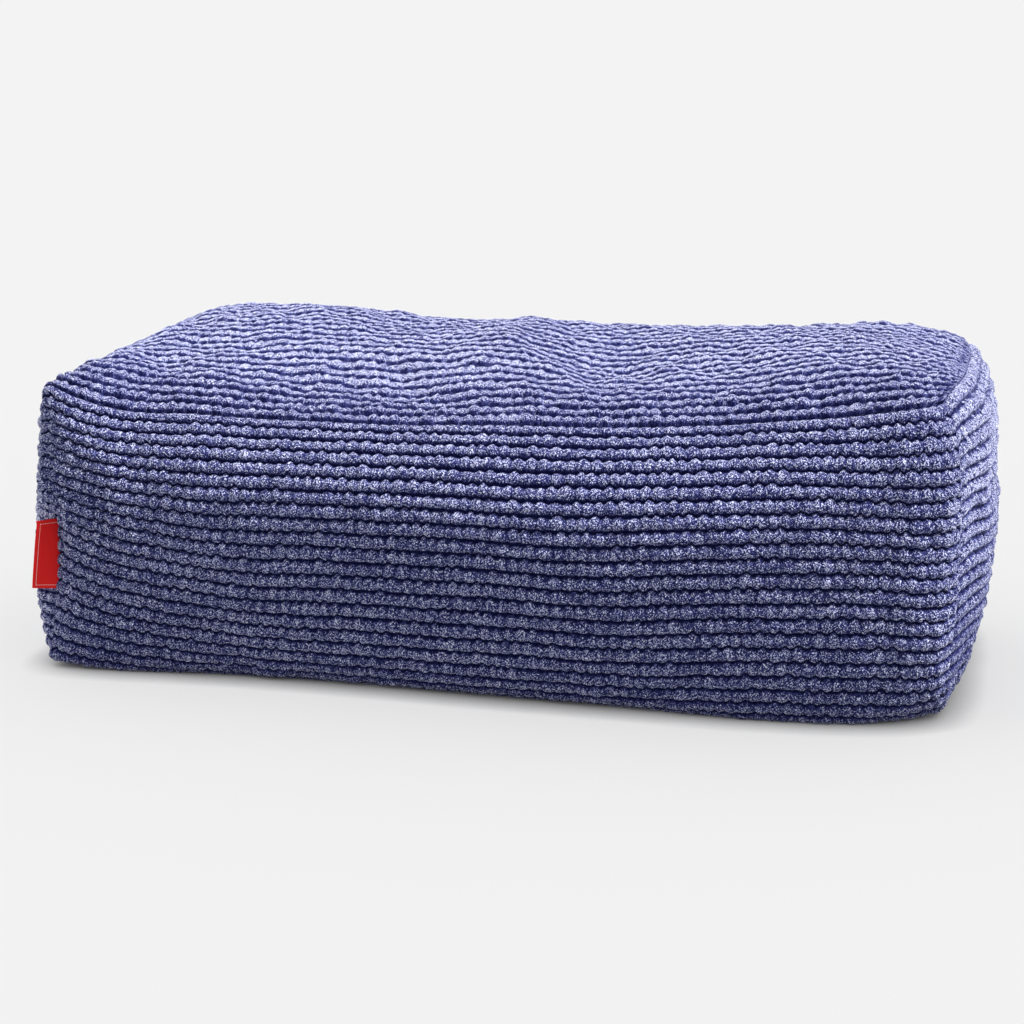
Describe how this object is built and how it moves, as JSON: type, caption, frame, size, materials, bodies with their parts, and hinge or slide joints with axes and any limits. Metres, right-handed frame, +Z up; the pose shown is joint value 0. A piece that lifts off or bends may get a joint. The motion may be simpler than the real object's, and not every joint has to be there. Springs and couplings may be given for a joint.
{
  "type": "footstool",
  "caption": "Long soft footstool: one bean-filled block bag of ribbed chenille with bulging sides, a sunken, dented top and a small folded side tab.",
  "frame": {"origin": "middle of the bag's box, at the floor that its base rests on", "axes": "+X along the long side, towards the viewer's right; +Y from the front to the back; +Z up"},
  "size_m": [0.9788, 0.501, 0.3465],
  "materials": {
    "chenille": "ribbed chenille pile",
    "red_cloth": "woven tape"
  },
  "bodies": {
    "root": {"cover": "chenille", "side_tab": "red_cloth"}
  },
  "joints": []
}
